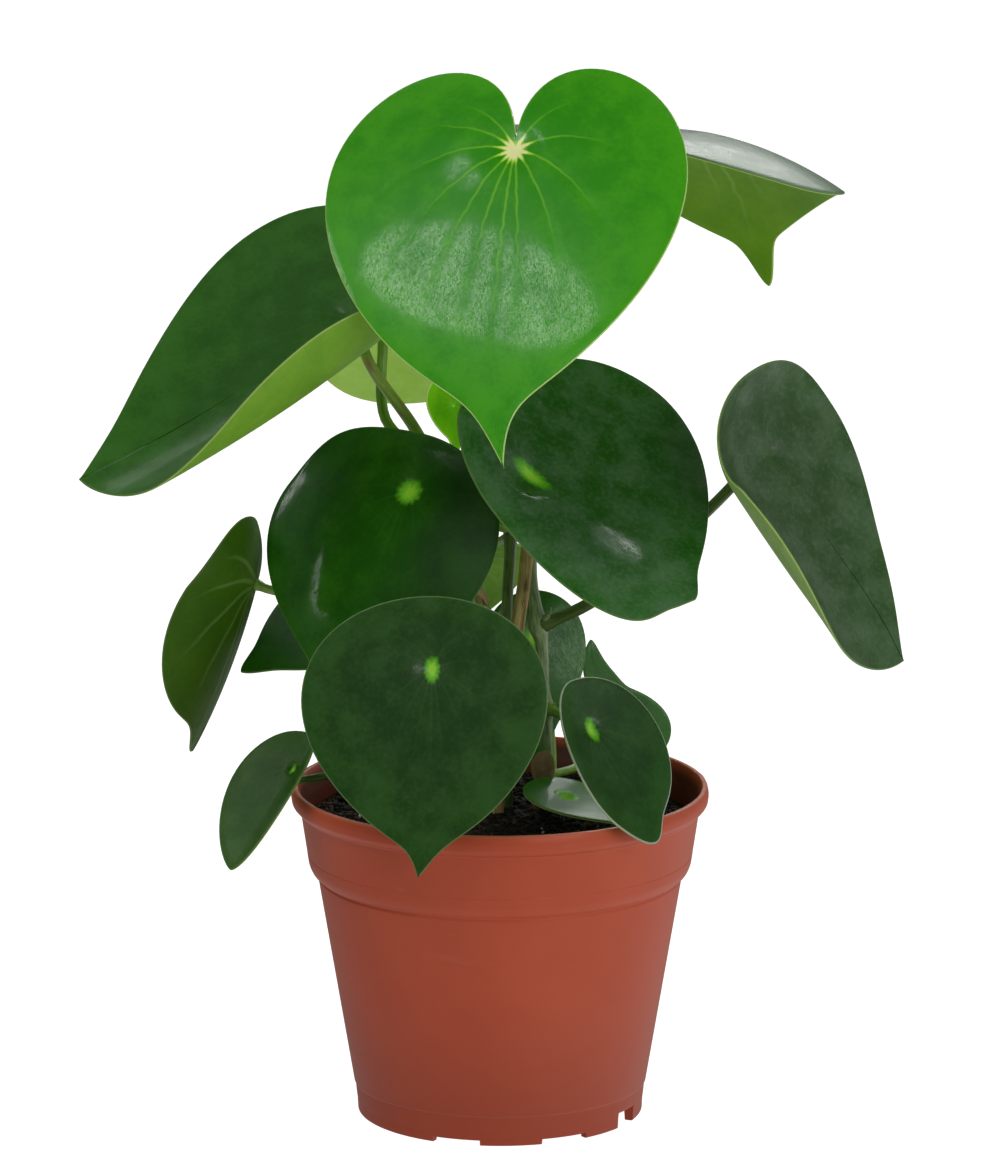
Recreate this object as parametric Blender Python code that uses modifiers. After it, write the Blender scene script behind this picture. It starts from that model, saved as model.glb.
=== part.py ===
# A potted peperomia with round glossy leaves, in a plastic nursery pot.
# Lengths are written in millimetres and turned into metres when a mesh or curve is made.
# +Z is up, and the origin is the centre of the pot's base, on the surface it stands on.

import bpy
import bmesh
import math
import numpy as np
from mathutils import Matrix, Vector

MM = 0.001
GAP = 0.3

# The pot: a thin tapered body, a wider collar, a rolled rim and a foot ring with notches.
# The body and the collar are each given by their (radius, height) below and above.
BODY_LOW = (42.1, 8.9)
BODY_HIGH = (52.25, 69.9)
COLLAR_LOW = (54.9, 73.3)
COLLAR_HIGH = (57.3, 89.3)
RIM_R = 60.0
RIM_TOP = 96.0
WALL = 1.4
FOOT_R = 41.0
FOOT_W = 2.4
FLOOR_Z = 5.6
FLOOR_T = 1.6
TURNS = 48

# The soil: slightly heaped in the middle, with a plain hole for each stem.
SOIL_EDGE = 86.0
SOIL_MID = 88.5
STEM_BASE = 76.0

BLADE_T = 1.2

for thing in list(bpy.data.objects):
    bpy.data.objects.remove(thing, do_unlink=True)

parts = bpy.data.collections.new("potted_peperomia")
cutters = bpy.data.collections.new("cutters")
bpy.context.scene.collection.children.link(parts)
bpy.context.scene.collection.children.link(cutters)


def material(name, colour, roughness, metallic=0.0):
    """A plain Principled material for one sub-part."""
    mat = bpy.data.materials.new(name)
    mat.use_nodes = True
    shader = mat.node_tree.nodes["Principled BSDF"]
    shader.inputs["Base Color"].default_value = (*colour, 1.0)
    shader.inputs["Roughness"].default_value = roughness
    shader.inputs["Metallic"].default_value = metallic
    mat.diffuse_color = (*colour, 1.0)
    return mat


def add(name, data, mat, collection=parts):
    """Link one named object with its own material."""
    obj = bpy.data.objects.new(name, data)
    collection.objects.link(obj)
    if mat:
        obj.data.materials.append(mat)
    return obj


def turned(name, profile, mat):
    """A turned shape: the profile of (radius, height) points goes round +Z with a Screw modifier."""
    mesh = bpy.data.meshes.new(name)
    points = [(r * MM, 0, z * MM) for r, z in profile]
    mesh.from_pydata(points, [(i, i + 1) for i in range(len(points) - 1)], [])
    obj = add(name, mesh, mat)
    screw = obj.modifiers.new("turn", "SCREW")
    screw.axis = "Z"
    screw.angle = math.tau
    screw.steps = TURNS
    screw.render_steps = TURNS
    screw.use_merge_vertices = True
    screw.merge_threshold = 0.00001
    screw.use_smooth_shade = True
    return obj


def cut(obj, cutter):
    """Take the cutter's shape out of an object."""
    cutter.hide_render = True
    cutter.display_type = "WIRE"
    step = obj.modifiers.new("cut_" + cutter.name, "BOOLEAN")
    step.operation = "DIFFERENCE"
    step.solver = "EXACT"
    step.object = cutter


# The pot

def between(low, high, z):
    """Radius at a height on the straight line between two (radius, height) points."""
    return low[0] + (z - low[1]) * (high[0] - low[0]) / (high[1] - low[1])


FLOOR_TOP = FLOOR_Z + FLOOR_T
FLOOR_EDGE = between(BODY_LOW, BODY_HIGH, FLOOR_TOP) - WALL
inside = [
    (0, FLOOR_TOP),
    (FLOOR_EDGE - 1.2, FLOOR_TOP),
    (FLOOR_EDGE, FLOOR_TOP + 1.4),
    (BODY_HIGH[0] - WALL, BODY_HIGH[1] + 0.7),
    (COLLAR_LOW[0] - WALL, COLLAR_LOW[1] + 0.3),
    (COLLAR_HIGH[0] - WALL, COLLAR_HIGH[1] + 0.1),
    (RIM_R - 2.4, RIM_TOP - 1.0),
    (RIM_R - 2.0, RIM_TOP - 0.2),
]
outside = [
    (RIM_R - 1.2, RIM_TOP),
    (RIM_R - 0.4, RIM_TOP - 0.7),
    (RIM_R, RIM_TOP - 2.3),
    (RIM_R - 0.3, RIM_TOP - 4.4),
    (RIM_R - 1.4, RIM_TOP - 6.0),
    COLLAR_HIGH,
    COLLAR_LOW,
    (COLLAR_LOW[0] - 0.7, COLLAR_LOW[1] - 2.0),
    BODY_HIGH,
    BODY_LOW,
    (FOOT_R + 0.8, FLOOR_Z + 0.6),
    (FOOT_R + 0.1, FLOOR_Z - 0.2),
    (FOOT_R, 0),
    (FOOT_R - FOOT_W, 0),
    (FOOT_R - FOOT_W - 0.4, FLOOR_Z),
    (0, FLOOR_Z),
]
pot = turned("pot", inside + outside, material("pot_plastic", (0.35, 0.08, 0.04), 0.42))

# Notches through the foot ring: (turn from the front in degrees, width, height). The two tall
# ones let water out.
NOTCHES = [(-18, 14, 1.6), (27, 14, 1.6), (62, 9, 4.6), (118, 14, 1.6), (162, 14, 1.6), (207, 14, 1.6),
           (242, 9, 4.6)]
for turn_deg, width, height in NOTCHES:
    block = bpy.data.meshes.new("notch")
    shape_bm = bmesh.new()
    bmesh.ops.create_cube(shape_bm, size=1.0)
    bmesh.ops.scale(shape_bm, vec=(width * MM, 9 * MM, 2 * height * MM), verts=shape_bm.verts)
    shape_bm.to_mesh(block)
    shape_bm.free()
    notch = add("notch_%d" % (turn_deg % 360), block, None, cutters)
    around = Matrix.Rotation(math.radians(turn_deg), 4, "Z")
    notch.matrix_world = around @ Matrix.Translation((0, -(FOOT_R - 1.0) * MM, 0))
    cut(pot, notch)

# The soil fills the pot and keeps a hair's gap to the wall and the floor.
SOIL_GAP = GAP + 0.1
collar_in = between(COLLAR_LOW, COLLAR_HIGH, SOIL_EDGE) - WALL
soil_profile = [
    (0, SOIL_MID),
    (22, SOIL_MID - 0.4),
    (40, SOIL_MID - 1.2),
    (collar_in - SOIL_GAP, SOIL_EDGE),
    (COLLAR_LOW[0] - WALL - SOIL_GAP, COLLAR_LOW[1] + 0.5),
    (BODY_HIGH[0] - WALL - SOIL_GAP, BODY_HIGH[1] + 0.9),
    (FLOOR_EDGE - SOIL_GAP, FLOOR_TOP + 1.6),
    (FLOOR_EDGE - 1.2 - GAP, FLOOR_TOP + GAP),
    (0, FLOOR_TOP + GAP),
]
soil = turned("soil", soil_profile, material("soil_dark", (0.02, 0.012, 0.008), 0.95))


# Stems and petioles are round tubes along smooth lines.

def smooth(points, steps):
    """Points of a Catmull-Rom line through the given ones, ends included."""
    p = np.array(points, float)
    p = np.vstack([2 * p[0] - p[1], p, 2 * p[-1] - p[-2]])
    line = []
    for i in range(1, len(p) - 2):
        a, b, c, d = p[i - 1:i + 3]
        for k in range(steps):
            t = k / steps
            line.append(0.5 * (2 * b + (c - a) * t + (2 * a - 5 * b + 4 * c - d) * t ** 2
                               + (3 * b - a - 3 * c + d) * t ** 3))
    line.append(p[-2])
    return np.array(line)


def tube(name, line, radii, mat):
    """A curve with filled caps whose thickness follows the radii."""
    curve = bpy.data.curves.new(name, "CURVE")
    curve.dimensions = "3D"
    curve.bevel_depth = MM
    curve.bevel_resolution = 2
    curve.resolution_u = 1
    curve.render_resolution_u = 0
    curve.use_fill_caps = True
    spline = curve.splines.new("POLY")
    spline.points.add(len(line) - 1)
    for point, place, radius in zip(spline.points, line, radii):
        point.co = (*(place * MM), 1.0)
        point.radius = radius
    spline.use_smooth = True
    return add(name, curve, mat)


# Each stem: its route from the foot in the soil upwards, with the tube's radius at each point.
STEMS = {
    "left_stem": [(2, 5, STEM_BASE, 1.7), (2, 5, 92, 1.7), (2, 6, 122, 1.8), (2, 7, 146, 1.6),
                  (3, 8, 166, 1.7), (2, 8, 187, 1.6), (1, 7, 198, 1.5)],
    "woody_stem": [(-1, -3, STEM_BASE, 2.1), (-1, -3, 92, 2.1), (3, -4, 122, 2.1), (5, -4, 143, 2.0),
                   (7, -4, 157, 1.9), (8, -5, 168, 1.9), (8.5, -5.5, 174, 1.7)],
    "right_stem": [(14, 2, STEM_BASE, 1.8), (14, 2, 92, 1.8), (13.5, 3, 112, 1.7), (13, 3, 118, 2.2),
                   (12.5, 3, 124, 1.7), (12, 3, 136, 1.8), (11, 3, 142, 2.5), (10, 3.5, 149, 1.7),
                   (9, 4, 157, 1.6), (9, 6, 172, 1.6), (10, 8, 187, 1.5)],
}
STEM_COLOURS = {
    "left_stem": (0.10, 0.20, 0.04),
    "woody_stem": (0.30, 0.19, 0.10),
    "right_stem": (0.12, 0.22, 0.06),
}
stem_lines = {}
for name, route in STEMS.items():
    route = np.array(route, float)
    line = smooth(route, 3)
    line[:4, :2] = route[0, :2]
    stem_lines[name] = line
    tube(name, line[:, :3], line[:, 3], material(name + "_skin", STEM_COLOURS[name], 0.5))
    bottom = STEM_BASE - GAP
    hole_bm = bmesh.new()
    bmesh.ops.create_cone(hole_bm, cap_ends=True, segments=16, radius1=(route[0, 3] + GAP + 0.05) * MM,
                          radius2=(route[0, 3] + GAP + 0.05) * MM, depth=20 * MM)
    hole_mesh = bpy.data.meshes.new("hole")
    hole_bm.to_mesh(hole_mesh)
    hole_bm.free()
    hole = add("hole_" + name, hole_mesh, None, cutters)
    hole.location = (route[0, 0] * MM, route[0, 1] * MM, (bottom + 10) * MM)
    cut(soil, hole)


# Leaves. A blade is a flat teardrop round its navel, where the petiole joins from below. The
# outline has a pointed drip tip and, on the heart-shaped leaf, a notch between two back lobes.
# The blade is then bent along its midrib and across it, and turned to its place:
# heading is the compass turn of the tip (-90 is towards the front), pitch its slope, roll the
# turn about the midrib. Lengths in mm, angles in degrees, right and left seen along the tip.
PLAIN = dict(point_l=0.7, point_r=0.7, drip=4.0, drip_w=9.0, drip_e=2.0, notch=0.0, notch_w=15.0,
             notch_e=2.0, notch_at=0.0, curl_l=0.0, curl_r=0.0, arch=0.0, back_arch=0.0, hook=0.0,
             twist=0.0, dimple=1.5, roll=0.0, spokes=20, rings=3)

LEAVES = {
    "heart_top": dict(navel=(4, -26.5, 286.5), heading=-101, pitch=-44, roll=3, tip=97, back=38, left=50,
                      right=54.5, point_l=0.45, point_r=0.45, drip=16.5, drip_w=2.6, drip_e=1.0,
                      notch=0.9, notch_w=19, notch_e=1.2, notch_at=-4, curl_l=-14, curl_r=-13, arch=26,
                      back_arch=13, hook=-6, spokes=44, rings=5),
    "left_up": dict(navel=(-43, 8, 231.5), heading=200, pitch=-33, roll=-23, tip=92, back=35, left=58,
                    right=48, point_l=0.05, point_r=1.3, curl_l=83, curl_r=12, arch=-15, twist=6,
                    drip=1.5, drip_w=7, spokes=32, rings=5),
    "right_out": dict(navel=(77, 0, 193), heading=-12, pitch=-56, roll=38, tip=70, back=27, left=27,
                      right=47, point_r=0, point_l=1.5, curl_r=62, curl_l=10, arch=-7, back_arch=-55,
                      drip=3, drip_w=14, hook=3.5, spokes=30, rings=5),
    "back_right": dict(navel=(46.5, 24.5, 283), heading=60, pitch=-6.5, tip=86, back=31, left=57,
                       right=57, point_l=0.45, point_r=1.0, curl_r=-29, curl_l=-10, arch=75,
                       back_arch=10, drip=11, drip_w=3.4, hook=4, spokes=32, rings=5),
    "centre_left": dict(navel=(-26, -8, 184), heading=-127, pitch=-51, roll=-9, tip=65.5, back=17,
                        left=33, right=47.5, point_l=0.4, point_r=0.85, curl_l=-8, curl_r=-25, arch=19,
                        back_arch=-41, spokes=28, rings=4),
    "centre_right": dict(navel=(9, -25, 193), heading=-24, pitch=-36, roll=24, tip=60, back=28,
                         left=60, right=24, point_l=0.6, point_r=-0.6, curl_l=-7, curl_r=-10, arch=-10,
                         back_arch=-22, drip=3.5, drip_w=7, spokes=28, rings=4),
    "front_low": dict(navel=(-19, -58, 144), heading=-94, pitch=-74, roll=-2, tip=58.5, back=20.5,
                      left=32.6, right=36.5, point_l=0.55, point_r=0.45, arch=8, drip=6.8, drip_w=3.4,
                      drip_e=1.2, hook=3, spokes=28, rings=4),
    "left_mid": dict(navel=(-72, 11, 153), heading=158, pitch=-77, tip=55, back=19, left=28, right=24,
                     point_l=-0.2, point_r=0.75, curl_l=54, curl_r=59, arch=-14, back_arch=-38,
                     twist=7, drip=11, spokes=26, rings=4),
    "left_low": dict(navel=(-59, -25, 107), heading=-139, pitch=-48, roll=-21, tip=34.5, back=11.5,
                     left=5, right=15.5, point_l=0.15, point_r=0.45, curl_l=84, back_arch=-10, drip=0,
                     dimple=1.0),
    "left_behind": dict(navel=(-43, 20, 143), heading=200, pitch=-25, roll=-20, tip=37, back=15,
                        left=22, right=22),
    "right_low": dict(navel=(26, -39, 122), heading=-38, pitch=-58, roll=24, tip=38, back=15,
                      left=19.5, right=12, point_l=0.15, point_r=-0.3, curl_r=44, arch=-19,
                      back_arch=-10, drip=5.5, spokes=24, rings=4),
    "behind_stem": dict(navel=(10, 21, 134), heading=-80, pitch=-78, tip=34, back=14, left=15,
                        right=15),
    "right_behind": dict(navel=(38, 29, 108), heading=180, pitch=55, roll=-75, tip=26, back=13.5,
                         left=13, right=9.5, point_l=0.5, point_r=0.95, drip=12, drip_w=15,
                         hook=4),
    "soil_leaf": dict(navel=(19, -15, 96.5), heading=-30, pitch=-15, tip=24, back=12, left=14,
                      right=14),
    "pale_back": dict(navel=(-33, 45, 221), heading=5, pitch=-14, roll=-47, tip=47, back=22, left=33,
                      right=32, arch=20, curl_l=-10, curl_r=-10, drip=5, spokes=26, rings=4),
    "young_centre": dict(navel=(-13, 14, 204), heading=-60, pitch=-84, tip=14, back=10, left=9,
                         right=9, drip=3, dimple=0.6, spokes=18),
    "back_centre": dict(navel=(-9, 38, 153), heading=100, pitch=-45, tip=34, back=14, left=18,
                        right=18, arch=20),
    "dry_bract": dict(navel=(12.5, -1.0, 100), heading=-115, pitch=-82, tip=8, back=6, left=3.5,
                      right=4, drip=2, dimple=0, curl_l=20, curl_r=20, spokes=14),
}
for name in LEAVES:
    LEAVES[name] = {**PLAIN, **LEAVES[name]}


TINY = 1e-6


def spread(count):
    """Angles round the outline, 0 at the tip, closer together there."""
    u = np.linspace(-1, 1, count + 1)[:-1]
    return np.pi * (u - 0.25 * np.sin(2 * np.pi * u) / np.pi)


def outline(leaf, t):
    """Flat outline: a teardrop curve, its drip tip drawn out and its notch drawn in."""
    front = leaf["tip"] - leaf["drip"]
    m = np.where(t > 0, leaf["point_r"], leaf["point_l"])
    widest = np.arccos(-m / (2 + m))
    most = np.sin(widest) * np.sin(widest / 2) ** m
    side = np.where(t > 0, leaf["right"], leaf["left"])
    x = side * np.sin(t) * (np.abs(np.sin(t / 2)) + TINY) ** m / most
    y = (front - leaf["back"]) / 2 + (front + leaf["back"]) / 2 * np.cos(t)
    angle = np.degrees(np.arctan2(x, y))
    away = (angle - leaf["notch_at"] + 360) % 360 - 180
    drip = 1 + leaf["drip"] / np.hypot(x, y) * np.exp(-np.abs(angle / leaf["drip_w"]) ** leaf["drip_e"])
    notch = 1 - leaf["notch"] * np.exp(-np.abs(away / leaf["notch_w"]) ** leaf["notch_e"])
    return x * drip * notch, y * drip * notch


def along(angle, length, count=24):
    """Where a line ends whose slope changes along its length: sums of cosine and sine."""
    s = (np.arange(count) + 0.5) / count
    a = angle(length[..., None] * s)
    return length * np.cos(a).mean(-1), length * np.sin(a).mean(-1)


def blade_shape(leaf, t, rho):
    """Bent blade in its own axes: x to the right, y to the tip, z up. rho is 0 at the navel."""
    x, y = outline(leaf, t)
    x = x * rho
    y = y * rho
    r = np.hypot(x, y)
    half = (leaf["left"] + leaf["right"]) / 2

    def midrib(s):
        ahead = np.maximum(s / leaf["tip"], 0)
        behind = np.minimum(s / leaf["back"], 0)
        return -np.radians(leaf["arch"]) * ahead - np.radians(leaf["back_arch"]) * behind

    def across(s):
        u = s / half
        return np.sign(u) * np.radians(np.where(u > 0, leaf["curl_r"], leaf["curl_l"])) * np.abs(u)

    yy, zz = along(midrib, y)
    lean = midrib(y)
    side, lift = along(across, x)
    twist = np.radians(leaf["twist"]) * y / leaf["tip"]
    side, lift = side * np.cos(twist) - lift * np.sin(twist), side * np.sin(twist) + lift * np.cos(twist)
    side = side + leaf["hook"] * np.clip((y / leaf["tip"] - 0.6) / 0.4, 0, 1) ** 2
    lift = lift - leaf["dimple"] * np.exp(-(r / (0.12 * half)) ** 2)
    return np.stack([side, yy - lift * np.sin(lean), zz + lift * np.cos(lean)], -1)


def facing(leaf):
    """Right, tip and upward directions of a placed blade, as columns."""
    h, p, r = np.radians([leaf["heading"], leaf["pitch"], leaf["roll"]])
    tip = np.array([np.cos(p) * np.cos(h), np.cos(p) * np.sin(h), np.sin(p)])
    level = np.array([np.sin(h), -np.cos(h), 0])
    right = level * np.cos(r) - np.cross(level, tip) * np.sin(r)
    return np.stack([right, tip, np.cross(right, tip)], 1)


def blade(name, leaf, thickness, mat):
    """One leaf blade: rings of triangles round the navel, thickened downwards with Solidify."""
    n = leaf["spokes"]
    angles = spread(n)
    points = [blade_shape(leaf, np.array(0.1), np.array(0.0))]
    for k in range(1, leaf["rings"] + 1):
        points.extend(blade_shape(leaf, angles, np.full(n, k / leaf["rings"])))
    faces = [(0, 1 + (j + 1) % n, 1 + j) for j in range(n)]
    for k in range(leaf["rings"] - 1):
        inner = 1 + k * n
        outer = inner + n
        for j in range(n):
            i = (j + 1) % n
            faces.append((inner + j, outer + i, outer + j))
            faces.append((inner + j, inner + i, outer + i))
    mesh = bpy.data.meshes.new(name)
    mesh.from_pydata([tuple(p * MM) for p in points], [], faces)
    mesh.shade_smooth()
    obj = add(name, mesh, mat)
    rotation = Matrix(facing(leaf).tolist()).to_4x4()
    obj.matrix_world = Matrix.Translation(Vector(leaf["navel"]) * MM) @ rotation
    thick = obj.modifiers.new("thickness", "SOLIDIFY")
    thick.thickness = thickness * MM
    thick.offset = -1.0
    return obj


DARK = (0.012, 0.068, 0.016)
LEAF_COLOURS = {
    "heart_top": (0.014, 0.19, 0.004),
    "left_up": (0.012, 0.046, 0.014),
    "right_out": (0.03, 0.07, 0.03),
    "pale_back": (0.14, 0.30, 0.05),
    "young_centre": (0.05, 0.25, 0.01),
    "back_centre": (0.22, 0.30, 0.16),
    "dry_bract": (0.30, 0.22, 0.15),
}
for name, leaf in LEAVES.items():
    skin = material(name + "_skin", LEAF_COLOURS.get(name, DARK), 0.35)
    if name == "dry_bract":
        blade(name, leaf, 0.8, skin)
    else:
        blade(name + "_blade", leaf, BLADE_T, skin)


# Petioles: the stem each one leaves, the height it leaves at ("top" for the stem's own end),
# its radius at the stem and at the leaf, and the points it passes on its way to the navel.
PETIOLES = {
    "heart_top": ("left_stem", "top", 1.5, 1.5, [(2, 2, 220), (3, -7, 250)]),
    "left_up": ("left_stem", 131, 2.0, 1.5, [(-6, 7, 150), (-13, 14, 174), (-24, 17, 196), (-36, 10, 215)]),
    "right_out": ("right_stem", 142, 1.8, 1.6, [(25, 0, 149), (43, -2, 162), (60, 1, 177)]),
    "back_right": ("right_stem", "top", 1.5, 1.5, [(13, 12, 209), (21, 17, 237), (36, 22, 264)]),
    "centre_left": ("left_stem", 170, 1.5, 1.5, [(-6, 3, 173), (-14, 1, 175)]),
    "centre_right": ("woody_stem", "top", 1.6, 1.5, [(9, -7.5, 179.5), (8.5, -13, 184)]),
    "front_low": ("woody_stem", 121, 1.7, 1.5, [(-6, -25, 128), (-14, -42, 133)]),
    "left_mid": ("left_stem", 121, 1.5, 1.3, [(-11, 5, 134), (-29, 6, 145), (-49, 9, 148)]),
    "left_low": ("woody_stem", 109, 1.4, 1.2, [(-20, -9, 110), (-43, -15, 104)]),
    "left_behind": ("left_stem", 112, 1.3, 1.2, [(-14, 14, 123), (-32, 20, 133)]),
    "right_low": ("right_stem", 118, 1.4, 1.2, [(20, -12, 118), (23, -24, 117)]),
    "behind_stem": ("right_stem", 94, 1.3, 1.2, [(15, 20, 92), (15, 30, 100), (13, 33, 116)]),
    "right_behind": ("right_stem", 98, 1.3, 1.1, [(22, 20, 96), (32, 33, 99)]),
    "soil_leaf": ("right_stem", 90.5, 0.9, 0.9, [(17.5, -9, 90.2)]),
    "pale_back": ("left_stem", 176, 1.6, 1.5, [(-9, 18, 181), (-20, 26, 186), (-33, 34, 196)]),
    "young_centre": ("left_stem", 186, 1.0, 0.9, [(-3, 16, 194), (-9, 22, 200)]),
    "back_centre": ("left_stem", 167, 1.2, 1.1, [(-3, 20, 161), (-7, 29, 150)]),
}


def petiole_line(name):
    """Smooth route from just clear of the stem to just under the blade's navel."""
    stem, height, r0, r1, route = PETIOLES[name]
    leaf = LEAVES[name]
    up = facing(leaf)[:, 2]
    navel = np.array(leaf["navel"], float)
    end = navel - up * (leaf["dimple"] + BLADE_T + GAP + 0.1 + 0.4 * leaf["notch"])
    before = end - up * (1.2 if name == "soil_leaf" else 5.0)
    line = stem_lines[stem]
    if height == "top":
        foot = line[-1, :3]
        away = line[-1, :3] - line[-2, :3]
        root = foot + away / np.linalg.norm(away) * (GAP + 0.15)
    else:
        k = int(np.argmin(np.abs(line[:, 2] - height)))
        foot = np.array([*[np.interp(height, line[:, 2], line[:, i]) for i in (0, 1)], height])
        width = max(line[max(k - 1, 0):k + 2, 3])
        out = np.array(route[0]) - foot
        rise = abs(out[2]) / np.linalg.norm(out)
        out[2] = 0
        root = foot + out / np.linalg.norm(out) * (width + GAP + 0.1 + r0 * rise)
    return smooth(np.array([root, *route, before, end], float), 3), r0, r1


for name in PETIOLES:
    line, r0, r1 = petiole_line(name)
    radii = np.linspace(r0, r1, len(line))
    tube(name + "_petiole", line, radii, material(name + "_petiole_skin", (0.20, 0.32, 0.08), 0.4))
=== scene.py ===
# %% [markdown]
# A potted peperomia: a bushy little house plant with round, shiny leaves that carry their stalk
# under the middle of the blade, growing in a terracotta-coloured plastic nursery pot. The packed
# model already has every piece at its real size and place. This script loads it as a frame and
# dresses each piece in a finer form with the finish of the real one.

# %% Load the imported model
import bpy
import math
import numpy as np
from mathutils import Matrix, Vector, noise


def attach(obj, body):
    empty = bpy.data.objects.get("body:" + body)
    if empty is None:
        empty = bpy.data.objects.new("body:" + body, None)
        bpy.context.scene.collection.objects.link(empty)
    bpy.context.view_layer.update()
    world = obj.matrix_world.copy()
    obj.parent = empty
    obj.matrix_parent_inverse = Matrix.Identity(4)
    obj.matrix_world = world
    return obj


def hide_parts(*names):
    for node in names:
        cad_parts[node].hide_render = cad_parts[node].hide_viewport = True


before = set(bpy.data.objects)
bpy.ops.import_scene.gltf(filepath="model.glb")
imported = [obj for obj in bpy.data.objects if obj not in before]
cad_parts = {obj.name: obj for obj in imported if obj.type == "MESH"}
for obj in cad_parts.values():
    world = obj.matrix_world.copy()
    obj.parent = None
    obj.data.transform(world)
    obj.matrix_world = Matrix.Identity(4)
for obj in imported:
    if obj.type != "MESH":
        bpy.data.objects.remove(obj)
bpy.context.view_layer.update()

# %% [markdown]
# Lengths are easier to read in millimetres, and colours as the 0 to 255 numbers that a picture
# shows. Blender works in metres and in linear light, so small helpers translate. The last one adds
# a mesh to the scene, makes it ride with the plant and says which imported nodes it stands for.

# %% Helpers for lengths, colours and pieces
MM = 0.001


def seen(red, green, blue):
    """A colour as a picture shows it, turned into the linear light that Blender mixes."""
    parts = [v / 255 for v in (red, green, blue)]
    return (*[p / 12.92 if p <= 0.04045 else ((p + 0.055) / 1.055) ** 2.4 for p in parts], 1.0)


def add(name, data):
    """A new object in the scene."""
    made = bpy.data.objects.new(name, data)
    bpy.context.scene.collection.objects.link(made)
    return made


def piece(name, points, faces, materials, nodes=()):
    """A smooth mesh piece, with its points in millimetres."""
    mesh = bpy.data.meshes.new(name)
    mesh.from_pydata((np.asarray(points, float) * MM).tolist(), [], faces)
    mesh.shade_smooth()
    made = add(name, mesh)
    for material in materials:
        mesh.materials.append(material)
    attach(made, "root")
    if nodes:
        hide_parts(*nodes)
    return made


# %% [markdown]
# A material is a net of nodes. Wiring it by hand hides the idea, so one small class wraps a
# node's output and lets plus, minus and times add the Math nodes. Its method node() adds any
# other kind: first the settings of the node, then the values or links of its sockets.

# %% Shader maths as plain expressions
class Wire:
    """One output in a material. Sums and products of wires add their own Math nodes."""

    def __init__(self, tree, socket=None):
        self.tree = tree
        self.socket = socket

    def node(self, kind, settings, inputs, output=0):
        made = self.tree.nodes.new("ShaderNode" + kind)
        for name, value in settings.items():
            setattr(made, name, value)
        for place, value in inputs.items():
            if isinstance(value, Wire):
                self.tree.links.new(value.socket, made.inputs[place])
            else:
                made.inputs[place].default_value = value
        return Wire(self.tree, made.outputs[output])

    def math(self, operation, *others):
        return self.node("Math", {"operation": operation}, dict(enumerate((self, *others))))

    def __add__(self, other):
        return self.math("ADD", other)

    __radd__ = __add__

    def __mul__(self, other):
        return self.math("MULTIPLY", other)

    __rmul__ = __mul__

    def __sub__(self, other):
        return self.math("SUBTRACT", other)

    def __rsub__(self, other):
        return self.node("Math", {"operation": "SUBTRACT"}, {0: other, 1: self})

    def __truediv__(self, other):
        return self.math("DIVIDE", other)

    def __pow__(self, other):
        return self.math("POWER", other)

    def split(self):
        """The x, y and z of a vector."""
        made = self.node("SeparateXYZ", {}, {0: self})
        return [Wire(self.tree, out) for out in made.socket.node.outputs]

    def fade(self, low, high):
        """0 below low, 1 above high, with a soft step between them."""
        soft = {"interpolation_type": "SMOOTHSTEP"}
        return self.node("MapRange", soft, {"Value": self, "From Min": low, "From Max": high})

    def tint(self, without, with_it):
        """One colour where this wire is 0, the other where it is 1."""
        return self.node("Mix", {"data_type": "RGBA"}, {0: self, 6: without, 7: with_it}, 2)

    def stretch(self, x, y, z):
        """A vector made longer or shorter along each axis."""
        return self.node("VectorMath", {"operation": "MULTIPLY"}, {0: self, 1: (x, y, z)})

    def grain(self, scale, detail=2.0, rough=0.5, twist=0.0):
        """Cloudy noise between 0 and 1 at a place."""
        values = {"Vector": self, "Scale": scale, "Detail": detail, "Roughness": rough}
        return self.node("TexNoise", {}, {**values, "Distortion": twist})

    def relief(self):
        """A Normal from a height in millimetres."""
        return self.node("Bump", {}, {"Strength": 1.0, "Distance": MM, "Height": self})


def finish(name, plain, place=None):
    """A new material, its shader with the plain values, and a wire: the stored or the real place."""
    material = bpy.data.materials.new(name)
    material.use_nodes = True
    shader = material.node_tree.nodes["Principled BSDF"]
    for socket, value in plain.items():
        shader.inputs[socket].default_value = value
    start = Wire(material.node_tree)
    if place:
        return material, shader, start.node("Attribute", {"attribute_name": place}, {}, "Vector")
    return material, shader, start.node("TexCoord", {}, {}, "Object")


def dress(shader, colour, rough, height, more=None):
    """Link what varies over the surface to the shader, the height as small bumps."""
    wires = {"Base Color": colour, "Roughness": rough, "Normal": height.relief()}
    for socket, wire in {**wires, **(more or {})}.items():
        wire.tree.links.new(wire.socket, shader.inputs[socket])


print("colour check, mid green:", [round(v, 3) for v in seen(31, 122, 12)])

# %% [markdown]
# The photograph was taken from a little above with a long lens, so the pot's sides hardly
# converge. The camera stands 2.5 m away and looks down 13 degrees. Its lens is written as the
# focal length in pixels of the 1000 by 1168 picture, turned into Blender's 36 mm sensor.

# %% Camera
PICTURE_HIGH = 1168
FOCAL_PIXELS = 8990
SENSOR = 36.0
CAMERA_BACK = 2.5
CAMERA_HIGH = 0.734
CAMERA_DOWN = 13.04

eye = bpy.data.cameras.new("camera")
eye.sensor_width = SENSOR
eye.lens = FOCAL_PIXELS * SENSOR / PICTURE_HIGH
camera = add("camera", eye)
camera.location = (0, -CAMERA_BACK, CAMERA_HIGH)
camera.rotation_euler = (math.radians(90 - CAMERA_DOWN), 0, 0)
bpy.context.scene.camera = camera
print("lens", round(eye.lens, 1), "mm")

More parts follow.
